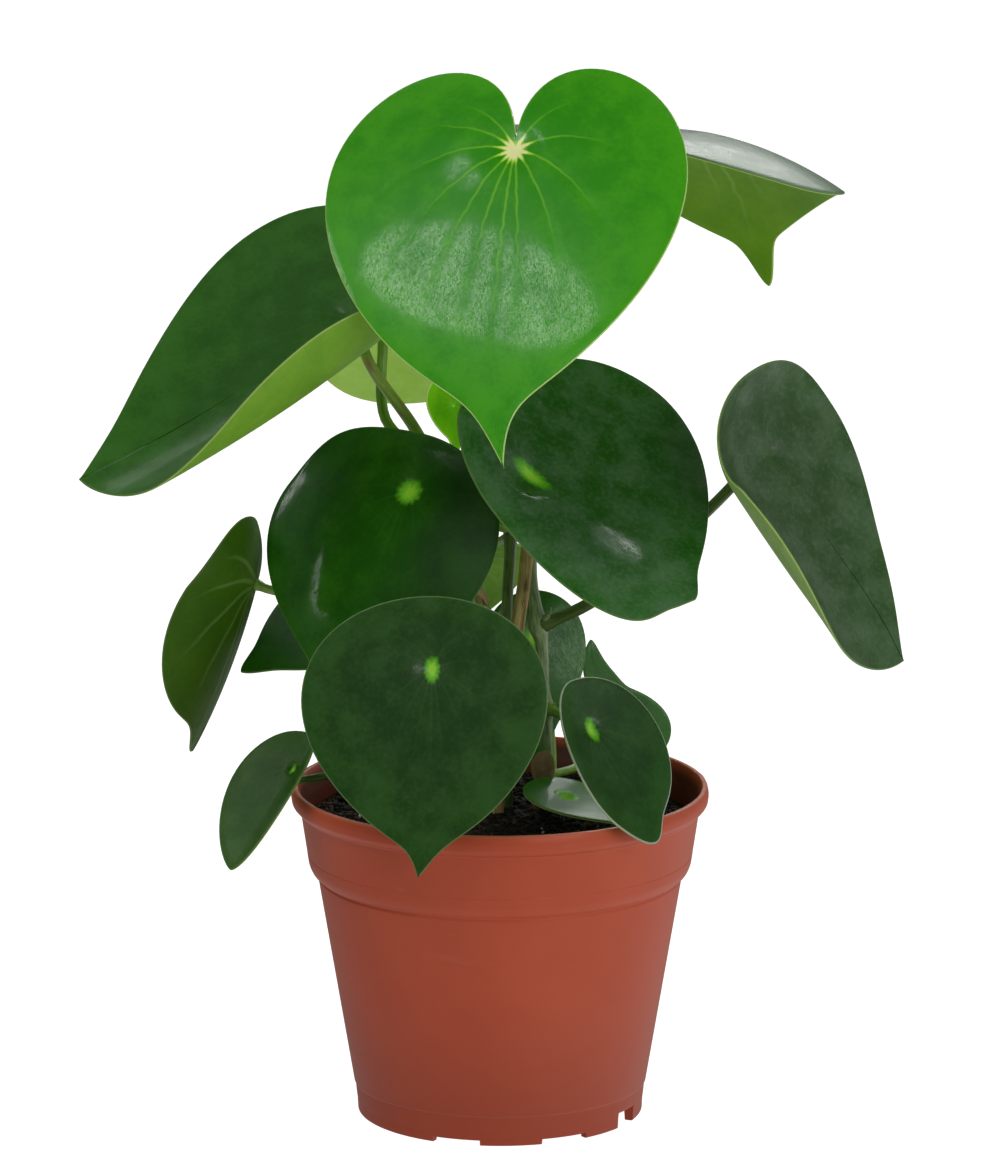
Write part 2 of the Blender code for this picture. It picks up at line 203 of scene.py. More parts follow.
# %% [markdown]
# Product pictures like this one stand on white paper with soft lamps round them, and the white is
# lit so brightly that no shadow is left of it. Here the floor is a wide plane that glows by
# itself and is seen by the camera only. What it would throw back onto the plant comes from the
# room instead, which is bright from below and from the right, where a white wall stands, and
# nearly black elsewhere, so that the shiny leaves stay deep. To the camera the room is white.

# %% Floor and room
FLOOR_HALF = 6.0
WHITE = (1, 1, 1, 1)
GREY = (0.3, 0.3, 0.3, 1)
paper, _, _ = finish("paper", {"Base Color": GREY, "Roughness": 0.9, "Emission Color": WHITE,
                               "Emission Strength": 1.0})
paper_mesh = bpy.data.meshes.new("paper")
corners = [(x * FLOOR_HALF, y * FLOOR_HALF, 0) for x, y in ((-1, -1), (1, -1), (1, 1), (-1, 1))]
paper_mesh.from_pydata(corners, [], [(0, 1, 2, 3)])
paper_mesh.materials.append(paper)
floor = add("floor", paper_mesh)
floor.visible_diffuse = False
floor.visible_glossy = False

ROOM_DIM = 0.05
ROOM_RIGHT = 0.39
ROOM_BELOW = 0.55
room = bpy.data.worlds.new("room")
room.use_nodes = True
bpy.context.scene.world = room
glow = room.node_tree.nodes["Background"]
start = Wire(room.node_tree)
side, _, height = start.node("TexCoord", {}, {}, "Generated").split()
grey = ROOM_DIM + side.fade(0.1, 0.9) * ROOM_RIGHT + (0.0 - height).fade(0.05, 0.6) * ROOM_BELOW
to_camera = start.node("LightPath", {}, {}, "Is Camera Ray")
room.node_tree.links.new(to_camera.tint(grey, WHITE).socket, glow.inputs["Color"])
bpy.context.scene.view_settings.view_transform = "Standard"
print("floor", 2 * FLOOR_HALF, "m wide, room from", ROOM_DIM, "to", ROOM_DIM + ROOM_RIGHT)

# %% [markdown]
# The lamps can be read off the leaves, because a shiny leaf is a mirror. The broad band across
# the heart-shaped leaf is a softbox in front, above and to the left. The streak on the leaf at
# the right comes from a small strong one, high up behind it, and low fills on both sides light
# the pot. The lamps are oval, so that no straight edge shows in the wax. Each is given by a
# compass turn from the camera's side, a height angle, its width and height, and its watts.

# %% Lamps
AIM = Vector((0, 0, 0.2))
LAMP_AWAY = 1.3
LAMPS = {
    "front_softbox": (-41, 54, 0.92, 0.38, 3.9),
    "high_left": (-72, 67, 0.15, 0.11, 0.2),
    "left_softbox": (-83, 34, 0.44, 0.36, 1.3),
    "left_strip": (-125, 24, 0.12, 0.30, 0.35),
    "rear_left": (-157, 43, 0.60, 0.40, 1.0),
    "rear_window": (169, 27, 0.70, 0.40, 3.2),
    "rear_right": (126, 50, 0.30, 0.20, 0.15),
    "top_softbox": (116, 61, 0.17, 0.20, 1.5),
    "right_fill": (32, 12, 0.80, 0.50, 3.9),
    "left_fill": (-45, 8, 0.80, 0.50, 1.3),
    "front_fill": (0, 35, 0.80, 0.30, 0.35),
}
for name, (turn, rise, wide, high, watts) in LAMPS.items():
    light = bpy.data.lights.new(name, "AREA")
    light.shape = "ELLIPSE"
    light.size = wide
    light.size_y = high
    light.energy = watts
    holder = add(name, light)
    turn, rise = math.radians(turn), math.radians(rise)
    level = math.cos(rise)
    away = Vector((level * math.sin(turn), -level * math.cos(turn), math.sin(rise)))
    holder.location = AIM + away * LAMP_AWAY
    holder.rotation_euler = (-away).to_track_quat("-Z", "Y").to_euler()
    print(name, "stands at", [round(v, 2) for v in holder.location])

# %% [markdown]
# Every leaf is the same kind of thing: a flat teardrop round its navel, the spot where the stalk
# joins from below. It is bent along its midrib and across it, then turned to its place. These are
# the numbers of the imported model, leaf by leaf: the navel's place, the heading, pitch and roll,
# the reach to the tip, the back, the left and the right, and then whatever isn't plain: how
# pointed the left and right halves are, the drawn-out tip, the notch of the heart and the bends.

# %% The leaves
PLAIN = dict(point=(0.7, 0.7), drip=4.0, drip_w=9.0, drip_e=2.0, notch=0.0, notch_w=15.0,
             notch_e=2.0, notch_at=0.0, curl=(0.0, 0.0), arch=0.0, back_arch=0.0, hook=0.0,
             twist=0.0, dimple=1.5)


def leaf_form(navel, turned, reach, **bends):
    """All the numbers of one leaf, the plain ones where nothing else is said."""
    turned = dict(zip(("heading", "pitch", "roll"), turned))
    reach = dict(zip(("tip", "back", "left", "right"), reach))
    return {**PLAIN, "navel": navel, **turned, **reach, **bends}


LEAVES = {
    "heart_top": leaf_form((4, -26.5, 286.5), (-101, -44, 3), (97, 38, 50, 54.5), point=(0.45, 0.45),
        drip=16.5, drip_w=2.6, drip_e=1.0, notch=0.9, notch_w=19, notch_e=1.2, notch_at=-4,
        curl=(-14, -13), arch=26, back_arch=13, hook=-6),
    "left_up": leaf_form((-43, 8, 231.5), (200, -33, -23), (92, 35, 58, 48), point=(0.05, 1.3),
        curl=(83, 12), arch=-15, twist=6, drip=1.5, drip_w=7),
    "right_out": leaf_form((77, 0, 193), (-12, -56, 38), (70, 27, 27, 47), point=(1.5, 0),
        curl=(10, 62), arch=-7, back_arch=-55, drip=3, drip_w=14, hook=3.5),
    "back_right": leaf_form((46.5, 24.5, 283), (60, -6.5, 0), (86, 31, 57, 57), point=(0.45, 1.0),
        curl=(-10, -29), arch=75, back_arch=10, drip=11, drip_w=3.4, hook=4),
    "centre_left": leaf_form((-26, -8, 184), (-127, -51, -9), (65.5, 17, 33, 47.5), point=(0.4, 0.85),
        curl=(-8, -25), arch=19, back_arch=-41),
    "centre_right": leaf_form((9, -25, 193), (-24, -36, 24), (60, 28, 60, 24), point=(0.6, -0.6),
        curl=(-7, -10), arch=-10, back_arch=-22, drip=3.5, drip_w=7),
    "front_low": leaf_form((-19, -58, 144), (-94, -74, -2), (58.5, 20.5, 32.6, 36.5),
        point=(0.55, 0.45), arch=8, drip=6.8, drip_w=3.4, drip_e=1.2, hook=3),
    "left_mid": leaf_form((-72, 11, 153), (158, -77, 0), (55, 19, 28, 24), point=(-0.2, 0.75),
        curl=(54, 59), arch=-14, back_arch=-38, twist=7, drip=11),
    "left_low": leaf_form((-59, -25, 107), (-139, -48, -21), (34.5, 11.5, 5, 15.5), point=(0.15, 0.45),
        curl=(84, 0), back_arch=-10, drip=0, dimple=1.0),
    "left_behind": leaf_form((-43, 20, 143), (200, -25, -20), (37, 15, 22, 22)),
    "right_low": leaf_form((26, -39, 122), (-38, -58, 24), (38, 15, 19.5, 12), point=(0.15, -0.3),
        curl=(0, 44), arch=-19, back_arch=-10, drip=5.5),
    "behind_stem": leaf_form((10, 21, 134), (-80, -78, 0), (34, 14, 15, 15)),
    "right_behind": leaf_form((38, 29, 108), (180, 55, -75), (26, 13.5, 13, 9.5), point=(0.5, 0.95),
        drip=12, drip_w=15, hook=4),
    "soil_leaf": leaf_form((19, -15, 96.5), (-30, -15, 0), (24, 12, 14, 14)),
    "pale_back": leaf_form((-33, 45, 221), (5, -14, -47), (47, 22, 33, 32), arch=20, curl=(-10, -10),
        drip=5),
    "young_centre": leaf_form((-13, 14, 204), (-60, -84, 0), (14, 10, 9, 9), drip=3, dimple=0.6),
    "back_centre": leaf_form((-9, 38, 153), (100, -45, 0), (34, 14, 18, 18), arch=20),
    "dry_bract": leaf_form((12.5, -1.0, 100), (-115, -82, 0), (8, 6, 3.5, 4), drip=2, dimple=0,
        curl=(20, 20)),
}
print("leaves:", len(LEAVES))

# %% [markdown]
# The outline is a formula, so it can be drawn as finely as wanted. A teardrop curve gives the
# round blade, a bell curve pulls its tip out into the drip tip that rain runs off, and another
# one pulls the notch in. Bending keeps lengths true: a line's slope changes along it, and its
# end is the sum of many small steps.

# %% Outline and bending
TINY = 1e-6
CROWDING = 0.25
DIMPLE_WIDE = 0.12
HOOK_FROM = 0.6


def spread(count):
    """Angles round the outline, 0 at the tip, closer together there."""
    u = np.linspace(-1, 1, count + 1)[:-1]
    return np.pi * (u - CROWDING * np.sin(2 * np.pi * u) / np.pi)


def outline(leaf, t):
    """Flat outline: a teardrop curve, its drip tip drawn out and its notch drawn in."""
    front = leaf["tip"] - leaf["drip"]
    m = np.where(t > 0, leaf["point"][1], leaf["point"][0])
    widest = np.arccos(-m / (2 + m))
    most = np.sin(widest) * np.sin(widest / 2) ** m
    side = np.where(t > 0, leaf["right"], leaf["left"])
    x = side * np.sin(t) * (np.abs(np.sin(t / 2)) + TINY) ** m / most
    y = (front - leaf["back"]) / 2 + (front + leaf["back"]) / 2 * np.cos(t)
    angle = np.degrees(np.arctan2(x, y))
    away = (angle - leaf["notch_at"] + 360) % 360 - 180
    bell = np.exp(-np.abs(angle / leaf["drip_w"]) ** leaf["drip_e"])
    drip = 1 + leaf["drip"] / np.hypot(x, y) * bell
    notch = 1 - leaf["notch"] * np.exp(-np.abs(away / leaf["notch_w"]) ** leaf["notch_e"])
    return x * drip * notch, y * drip * notch


def along(angle, length, count=24):
    """Where a line ends whose slope changes along its length."""
    s = (np.arange(count) + 0.5) / count
    a = angle(length[..., None] * s)
    return length * np.cos(a).mean(-1), length * np.sin(a).mean(-1)


def bent(leaf, x, y):
    """A flat place on the blade, bent: x to the right, y to the tip, z up."""
    half = (leaf["left"] + leaf["right"]) / 2

    def midrib(s):
        ahead = np.maximum(s / leaf["tip"], 0)
        behind = np.minimum(s / leaf["back"], 0)
        return -np.radians(leaf["arch"]) * ahead - np.radians(leaf["back_arch"]) * behind

    def across(s):
        u = s / half
        curl = np.where(u > 0, leaf["curl"][1], leaf["curl"][0])
        return np.sign(u) * np.radians(curl) * np.abs(u)

    yy, zz = along(midrib, y)
    lean = midrib(y)
    side, lift = along(across, x)
    twist = np.radians(leaf["twist"]) * y / leaf["tip"]
    c, s = np.cos(twist), np.sin(twist)
    side, lift = side * c - lift * s, side * s + lift * c
    ahead = np.clip((y / leaf["tip"] - HOOK_FROM) / (1 - HOOK_FROM), 0, 1)
    side = side + leaf["hook"] * ahead ** 2
    lift = lift - leaf["dimple"] * np.exp(-(np.hypot(x, y) / (DIMPLE_WIDE * half)) ** 2)
    return np.stack([side, yy - lift * np.sin(lean), zz + lift * np.cos(lean)], -1)


def facing(leaf):
    """Right, tip and upward directions of a placed blade, as columns."""
    h, p, r = np.radians([leaf["heading"], leaf["pitch"], leaf["roll"]])
    tip = np.array([np.cos(p) * np.cos(h), np.cos(p) * np.sin(h), np.sin(p)])
    level = np.array([np.sin(h), -np.cos(h), 0])
    right = level * np.cos(r) - np.cross(level, tip) * np.sin(r)
    return np.stack([right, tip, np.cross(right, tip)], 1)


heart_x, heart_y = outline(LEAVES["heart_top"], spread(200))
print("heart leaf flat:", round(float(np.ptp(heart_x))), "by", round(float(np.ptp(heart_y))), "mm")

# %% [markdown]
# A grown blade is never quite smooth. Slow waves run over it, flat at the navel and higher towards
# the edge. Up close a leaf isn't a sheet either but a thin cushion, thickest in the middle. Its
# skin is a row of hoops of points with one more point at each end, as on a stalk and the soil.

# %% Waves, thickness and skins
MID_THICK = 1.1
EDGE_THICK = 0.75
WAVE_LONG = 22
WAVE_HIGH = 0.004


def wavy(leaf, name, x, y, rho):
    """The slow waves of a grown blade, in millimetres up, stronger towards the edge."""
    start = sum(map(ord, name))
    size = min(leaf["left"], leaf["tip"])
    places = zip(x.flat, y.flat)
    height = [noise.noise(Vector((a / WAVE_LONG + start, b / WAVE_LONG, 0))) for a, b in places]
    return np.reshape(height, x.shape) * WAVE_HIGH * size * rho ** 2


def upper(leaf, name, t, rho):
    """Points of the upper side at angle t and share rho of the way to the edge."""
    x, y = outline(leaf, t)
    x = x * rho
    y = y * rho
    points = bent(leaf, x, y)
    points[..., 2] += wavy(leaf, name, x, y, rho)
    return points, x, y


def hoops(first, rows, sides, low, high):
    """Faces of a skin over rows of points round an axis, closed by two end points."""
    faces = []
    last = first + (rows - 1) * sides
    for j in range(sides):
        i = (j + 1) % sides
        faces.append((low, first + i, first + j))
        for base in range(first, last, sides):
            faces.append((base + j, base + i, base + sides + i, base + sides + j))
        faces.append((last + j, last + i, high))
    return faces


def keep_places(made, name, places):
    """Store a place with each point, for the material to read by its name."""
    store = made.data.attributes.new(name, "FLOAT_VECTOR", "POINT")
    store.data.foreach_set("vector", places.astype(np.float32).ravel())


print("blades are", MID_THICK, "mm thick in the middle")

# %% [markdown]
# A blade is a net of spokes and rings. It runs from the navel out over the upper side, round the
# edge in small steps and back under the lower side. Each point also stores its flat place on the
# blade and its share of the way to the edge, and the material draws veins, navel and margin from
# that, wherever the blade is bent to. A share over 1 is the round edge itself.

# %% One blade
EDGE_STEPS = 6
EDGE_SHARE = 1.05
RING_CROWDING = 1.3
NUDGE = 0.004


def blade(name, spokes, rings, materials, nodes):
    """A leaf blade with a rounded edge and its flat places stored as leaf_at."""
    leaf = LEAVES[name]
    t = spread(spokes)
    rho = np.linspace(0, 1, rings + 1)[1:] ** RING_CROWDING
    spoke, ring = np.meshgrid(t, rho)
    top, x, y = upper(leaf, name, spoke, ring)
    outward = top - upper(leaf, name, spoke, ring * (1 - NUDGE))[0]
    sideways = upper(leaf, name, spoke + NUDGE, ring)[0] - upper(leaf, name, spoke - NUDGE, ring)[0]
    up = np.cross(sideways, outward)
    up /= np.linalg.norm(up, axis=-1)[..., None]
    out = np.cross(up[-1], sideways[-1])
    out /= np.linalg.norm(out, axis=-1)[..., None]
    half = EDGE_THICK / 2
    thick = EDGE_THICK + (MID_THICK - EDGE_THICK) * (1 - ring ** 2)
    inset = half * ring[..., None] ** 8 * np.broadcast_to(out, top.shape)
    top = top - inset
    under = top - up * thick[..., None]
    core = top[-1] - up[-1] * half
    edge = []
    for step in range(1, EDGE_STEPS):
        a = np.pi * step / EDGE_STEPS
        edge.append(core + half * (np.cos(a) * up[-1] + np.sin(a) * out))
    centre, _, _ = upper(leaf, name, np.array([0.1]), np.array([0.0]))
    rows = [*top, *edge, *under[::-1]]
    flat = np.stack([x, y, ring], -1)
    lip = np.stack([x[-1], y[-1], np.full(spokes, EDGE_SHARE)], -1)
    flats = [*flat, *[lip] * len(edge), *flat[::-1]]
    points = np.vstack([centre, *rows, centre - (0, 0, MID_THICK)])
    faces = hoops(1, len(rows), spokes, 0, 1 + len(rows) * spokes)
    placed = points @ facing(leaf).T + np.array(leaf["navel"])
    title = name if name == "dry_bract" else name + "_leaf"
    made = piece(title + "_fine", placed, faces, materials, nodes)
    keep_places(made, "leaf_at", np.vstack([[(0, 0, 0)], *flats, [(0, 0, 0)]]))
    turn_over = rings + EDGE_STEPS // 2
    sides = [int(k >= turn_over) for k in range(len(rows) + 1)] * spokes
    made.data.polygons.foreach_set("material_index", sides)
    return made


# %% [markdown]
# The upper side is waxy and deep green. Pale veins run out from the navel and sweep towards the
# tip, and the blade sinks a little along each one. The pattern is worked out in the material: a
# vein that started at one angle is found nearer the tip the further out it gets, so each place
# is turned back to the angle it started from and compared with the list of starting angles.

# %% Veins
VEIN_STARTS = (-158, -120, -73, -38, -12, 0, 16, 37, 65, 100, 130, 152)
WOBBLE = 0.12


def vein_distance(at):
    """How far the nearest main vein and the navel are in millimetres, and the share to the edge."""
    x, y, share = at.split()
    reach = (x * x + y * y) ** 0.5
    turn = x.math("ARCTAN2", y)
    half_turns = turn.math("ABSOLUTE") / math.pi
    began = turn * (1 + share * (1 - half_turns)) + (at.grain(0.15) - 0.5) * WOBBLE
    aside = (began - math.radians(VEIN_STARTS[0])).math("ABSOLUTE")
    for degrees in VEIN_STARTS[1:]:
        aside = aside.math("MINIMUM", (began - math.radians(degrees)).math("ABSOLUTE"))
    crowding = 1.05 + share * (1 - half_turns * 2)
    return aside * reach / crowding, reach, share


# %% [markdown]
# Around the navel the blade is thin and paler, yellow-green in a star along the young leaf's veins
# and in a ragged disc on the old leaves; the bright core and halo of this spot are painted glow, for
# the light that shines through the thin blade. A dusty film greys these in patches, mixed with a
# painted sheen where a leaf is seen at a grazing angle, and the margin is a thin pale line. The
# gloss is a second, clear coat of wax. The cells under it make a grain of fine threads, and the coat
# lies only where the threads are high, which breaks a highlight up.
#
# In the table, glow is the navel's radius in millimetres, wide and long stretch it, star draws it
# out along the veins, shine is the bare skin's gloss and wax the coat's weight. Left of the line
# dull, in millimetres from the midrib, the leaf is darkened as painted shade, for the
# shadow of the leaf above, and has no wax, and bare is the share of the way out where the wax ends.
# lit is the strength of a painted glow, in place of the light that comes through from
# behind.

# %% Upper side of a leaf
PLAIN_SKIN = dict(vein=0.03, glow=3.0, wide=1.0, long=1.0, core=(152, 214, 66), halo=(92, 178, 30),
                  star=0.12, rough=0.34, shine=0.25, wax=0.3, dull=0, bare=0, haze=0.10, lit=0.0,
                  dust=(88, 112, 92), margin=(104, 136, 74), edge=0.7)
DULL_FADE = 20
BARE_FADE = 0.15


def leaf_upper(name, deep, fresh, **changes):
    """The upper side, from a deep and a fresh green and whatever isn't plain about it."""
    look = {**PLAIN_SKIN, **changes}
    plain = {"Specular IOR Level": look["shine"], "Coat Roughness": 0.10}
    # The emission is a painted glow in place of the light let through the blade from behind.
    plain["Emission Strength"] = look["lit"]
    material, shader, at = finish("upper_" + name, plain, "leaf_at")
    beside, reach, share = vein_distance(at)
    clouds = at.grain(0.10, 3.0)
    mottle = at.grain(0.8, 4.0, 0.65)
    threads = at.stretch(1.0, 0.45, 1.0).grain(1.5, 3.0, 0.7, 1.6)
    # Towards the edge the green is made fresher: painted sheen, where the curled-up edges catch light.
    mix = clouds * 0.7 + mottle * 0.3 + share.fade(0.4, 1.0) * 0.18 - 0.09
    colour = mix.fade(0.32, 0.70).tint(seen(*deep), seen(*fresh))
    # The grey film is dust, and also painted sheen: a grazing leaf's reflection of the white room.
    film = clouds.fade(0.35, 0.70) * 0.5 + mottle.fade(0.45, 0.75) * 0.5
    colour = (film * look["haze"]).tint(colour, seen(*look["dust"]))
    line = (1 - beside.fade(0.10, 0.55)) * (1 - share.fade(0.15, 0.66)) * look["vein"]
    colour = line.tint(colour, seen(132, 206, 48))
    # The navel's bright core and halo are painted glow over a paler spot: the light through the thin
    # blade.
    radius = look["glow"]
    if radius:
        near = at.stretch(1 / look["wide"], 1 / look["long"], 0)
        near = near.node("VectorMath", {"operation": "LENGTH"}, {0: near}, "Value")
        star = (1 - beside.fade(0.1, 0.9)) * look["star"] * radius
        ragged = near + (mottle - 0.5) * radius * 0.8 - star
        colour = (1 - ragged.fade(radius * 0.75, radius * 1.5)).tint(colour, seen(*look["halo"]))
        colour = (1 - ragged.fade(radius * 0.2, radius * 0.9)).tint(colour, seen(*look["core"]))
    colour = (share.fade(1.0, 1.03) * look["edge"]).tint(colour, seen(*look["margin"]))
    valley = (1 - beside.fade(0.0, 3.2)) * reach.fade(3.0, 14.0) * (1 - share.fade(0.5, 0.95))
    swell = at.grain(0.12, 1.0)
    polish = threads.fade(0.38, 0.60) * (0.55 + clouds.fade(0.30, 0.60) * 0.45) * (1 - valley * 0.7)
    # Left of this line the colour is darkened as painted shade, where the leaf above shadows this one.
    if look["dull"]:
        fresh_half = at.split()[0].fade(look["dull"], look["dull"] + DULL_FADE)
        polish = polish * fresh_half
        colour = ((1 - fresh_half) * 0.6).tint(colour, seen(6, 36, 2))
    if look["bare"]:
        polish = polish * (1 - share.fade(look["bare"], look["bare"] + BARE_FADE))
    height = threads * 0.04 + mottle * 0.012 + swell * 0.10 - valley * look["vein"] * 0.16
    more = {"Emission Color": colour, "Coat Weight": polish * look["wax"]}
    dress(shader, colour, look["rough"] + mottle * 0.12, height, more)
    return material


def leaf_under(name, pale, darker, lit=0.0, edge=(150, 178, 92)):
    """The lower side: matt and pale. Its emission is a painted glow in place of the light the leaf lets
    through from behind.
    """
    plain = {"Specular IOR Level": 0.2, "Emission Strength": lit}
    material, shader, at = finish("under_" + name, plain, "leaf_at")
    beside, reach, share = vein_distance(at)
    mottle = at.grain(0.5, 3.0, 0.6)
    clouds = at.grain(0.06, 2.0) * 0.7 + mottle * 0.3
    colour = clouds.fade(0.3, 0.7).tint(seen(*pale), seen(*darker))
    line = (1 - beside.fade(0.2, 1.0)) * (1 - share.fade(0.5, 0.9)) * 0.2
    colour = line.tint(colour, seen(168, 196, 120))
    colour = share.fade(1.0, 1.03).tint(colour, seen(*edge))
    height = mottle * 0.05 - beside.fade(0.0, 1.4) * 0.06
    dress(shader, colour, 0.5 + mottle * 0.12, height, {"Emission Color": colour})
    return material


# %% [markdown]
# No two leaves have quite the same green. The young heart is fresh and bright, the old ones below
# it nearly black where nothing shines on them, and the folded ones look grey from dust and from a
# painted sheen, the white room reflected at a grazing angle. The lower sides are pale, and the ones
# with the lamps behind them get a painted glow for the light they let through.

# %% Leaf finishes
UPPER = {
    "heart_top": leaf_upper("heart", (46, 148, 4), (70, 170, 10), vein=0.6, glow=2.4, wide=1.1,
        core=(250, 255, 176), halo=(170, 230, 50), star=1.1, wax=1.0, haze=0.0, margin=(186, 220, 120),
        edge=1.0),
    "young_centre": leaf_upper("young", (84, 164, 6), (112, 188, 16), vein=0.2, glow=0.6, haze=0.0,
        lit=0.35, margin=(180, 214, 110), edge=1.0),
    "left_up": leaf_upper("left_up", (38, 94, 12), (52, 114, 18), glow=0.0),
    # These two are seen at a grazing angle: their grey film and back_right's greyish greens are painted
    # sheen, the white room reflected in the wax.
    "right_out": leaf_upper("right_out", (36, 78, 18), (50, 96, 28), glow=0.0, shine=0.40, haze=0.45,
        dust=(112, 124, 112)),
    "back_right": leaf_upper("back_right", (64, 100, 60), (90, 124, 80), glow=0.0, shine=0.40,
        haze=0.3),
    "centre_left": leaf_upper("centre_left", (26, 88, 6), (48, 114, 12), haze=0.0, shine=0.15, wax=0.9,
        dull=-18, core=(176, 240, 70), halo=(116, 206, 40)),
    "centre_right": leaf_upper("centre_right", (30, 86, 16), (44, 108, 22), glow=2.6, wide=0.8,
        long=2.0, haze=0.6, dust=(100, 118, 104), shine=0.12, wax=1.0, bare=0.55),
    "front_low": leaf_upper("front_low", (26, 64, 14), (38, 84, 16), glow=2.0, wide=0.8, long=1.4,
        star=0.2, haze=0.15),
    "left_mid": leaf_upper("left_mid", (60, 100, 10), (76, 116, 20), glow=0.0, shine=0.2),
    "right_low": leaf_upper("right_low", (26, 66, 16), (38, 86, 20), glow=1.8, wide=0.7, long=1.6,
        haze=0.1, shine=0.3, margin=(168, 178, 158), edge=1.0),
    "left_low": leaf_upper("left_low", (40, 82, 16), (58, 100, 26), glow=0.8, wide=0.6, long=1.6,
        haze=0.1, shine=0.18, wax=0.06),
    "dry_bract": leaf_upper("bract", (120, 96, 70), (160, 130, 100), glow=0.0, rough=0.6, shine=0.2,
        haze=0.0),
}
UNDER = {
    "left_up": leaf_under("left_up", (124, 172, 50), (106, 156, 40), 0.08),
    "right_out": leaf_under("right_out", (136, 168, 98), (118, 150, 78), 0.2),
    "back_right": leaf_under("back_right", (106, 152, 30), (90, 138, 22), 0.2),
    "pale_back": leaf_under("pale_back", (160, 196, 92), (144, 184, 72), 0.38),
    # left_mid's lower side is darkened as painted shade, for the shade this leaf hangs in.
    "left_mid": leaf_under("left_mid", (70, 112, 12), (56, 98, 8), 0.0, (104, 128, 66)),
}
dark_upper = leaf_upper("dark", (34, 100, 6), (50, 122, 12), shine=0.3)
pale_under = leaf_under("pale", (132, 178, 66), (106, 156, 50), 0.1)
print("leaf finishes:", len(UPPER) + len(UNDER) + 2)

# %% [markdown]
# Now each leaf is made from its numbers, the large ones with more points, and gets its two
# finishes, one for each side.

# %% Make the blades
LARGE = 50
count = 0
for name, leaf in LEAVES.items():
    spokes, rings = (160, 26) if leaf["tip"] > LARGE else (96, 16)
    node = name if name == "dry_bract" else name + "_blade"
    skins = [UPPER.get(name, dark_upper), UNDER.get(name, pale_under)]
    made = blade(name, spokes, rings, skins, [node])
    count += len(made.data.polygons)
print("blade faces:", count)

# %% [markdown]
# Stems and stalks are round, juicy tubes. A curve with a bevel would do, but a mesh lets the
# radius swell where a stalk leaves its stem, and lets the skin know how far up it is, so that
# its fine streaks run along it and never swim.

# %% Lines and tubes
TUBE_SIDES = 24


def smooth(points, steps):
    """Points of a soft line through the given ones, ends included."""
    p = np.array(points, float)
    p = np.vstack([2 * p[0] - p[1], p, 2 * p[-1] - p[-2]])
    line = []
    for i in range(1, len(p) - 2):
        a, b, c, d = p[i - 1:i + 3]
        for k in range(steps):
            t = k / steps
            line.append(0.5 * (2 * b + (c - a) * t + (2 * a - 5 * b + 4 * c - d) * t ** 2
                               + (3 * b - a - 3 * c + d) * t ** 3))
    line.append(p[-2])
    return np.array(line)


def tube(name, line, radii, material, nodes=(), ribs=0.0):
    """A round stalk along a line. Its skin stores the place round it and the way along, stalk_at."""
    sides = TUBE_SIDES
    line = np.asarray(line, float)
    steps = np.gradient(line, axis=0)
    steps /= np.linalg.norm(steps, axis=1)[:, None]
    across = np.cross(steps[0], (0.3, 1.0, 0.2))
    way = np.concatenate([[0], np.cumsum(np.linalg.norm(np.diff(line, axis=0), axis=1))])
    angles = np.arange(sides) * math.tau / sides
    points = []
    at = []
    for place, step, radius, s in zip(line, steps, radii, way):
        across = across - step * (across @ step)
        across /= np.linalg.norm(across)
        third = np.cross(step, across)
        r = radius * (1 + ribs * np.cos(5 * angles))[:, None]
        ring = np.cos(angles)[:, None] * across + np.sin(angles)[:, None] * third
        points.append(place + ring * r)
        at.append(np.stack([np.cos(angles) * radius, np.sin(angles) * radius, np.full(sides, s)], 1))
    points = np.vstack([*points, line[:1], line[-1:]])
    at = np.vstack([*at, [(0, 0, way[0])], [(0, 0, way[-1])]])
    low = len(line) * sides
    faces = hoops(0, len(line), sides, low, low + 1)
    keep_places(piece(name, points, faces, [material], nodes), "stalk_at", at)


# %% [markdown]
# Three stems rise from the soil: a green one behind at the left, a tan one in front whose skin
# has dried and cracked along its length, and a grey-green one at the right. The finishes stretch
# a noise along the stalk for the streaks, and cut some of it out sharply for the cracks.

# %% Stem finishes
def stalk_skin(name, dark, light, blush=None):
    """A green juicy skin with fine streaks along it, flushed with another colour in places."""
    plain = {"Coat Weight": 0.3, "Coat Roughness": 0.3}
    material, shader, at = finish(name, plain, "stalk_at")
    streaks = at.stretch(1, 1, 0.08).grain(1.6, 3.0, 0.6)
    patches = at.stretch(1, 1, 0.5).grain(0.35, 2.0)
    colour = (streaks * 0.7 + patches * 0.3).fade(0.3, 0.7).tint(dark, light)
    if blush:
        colour = (patches.fade(0.45, 0.7) * 0.7).tint(colour, blush)
    dress(shader, colour, 0.38 + streaks * 0.12, streaks * 0.12 + at.grain(2.5) * 0.03)
    return material


def wood_skin(name):
    """Dry tan bark with long streaks, cracks and patches."""
    material, shader, at = finish(name, {}, "stalk_at")
    streaks = at.stretch(1, 1, 0.06).grain(1.9, 4.0, 0.65)
    cracks = at.stretch(1, 1, 0.05).grain(1.2, 2.0, 0.7, 0.6).fade(0.56, 0.62)
    patches = at.stretch(1, 1, 0.35).grain(0.5, 2.0)
    colour = streaks.fade(0.3, 0.7).tint(seen(150, 122, 74), seen(206, 180, 122))
    colour = (patches.fade(0.5, 0.75) * 0.5).tint(colour, seen(146, 118, 96))
    colour = (cracks * 0.75).tint(colour, seen(84, 60, 38))
    dress(shader, colour, 0.62 + streaks * 0.2, streaks * 0.25 - cracks * 0.3)
    return material


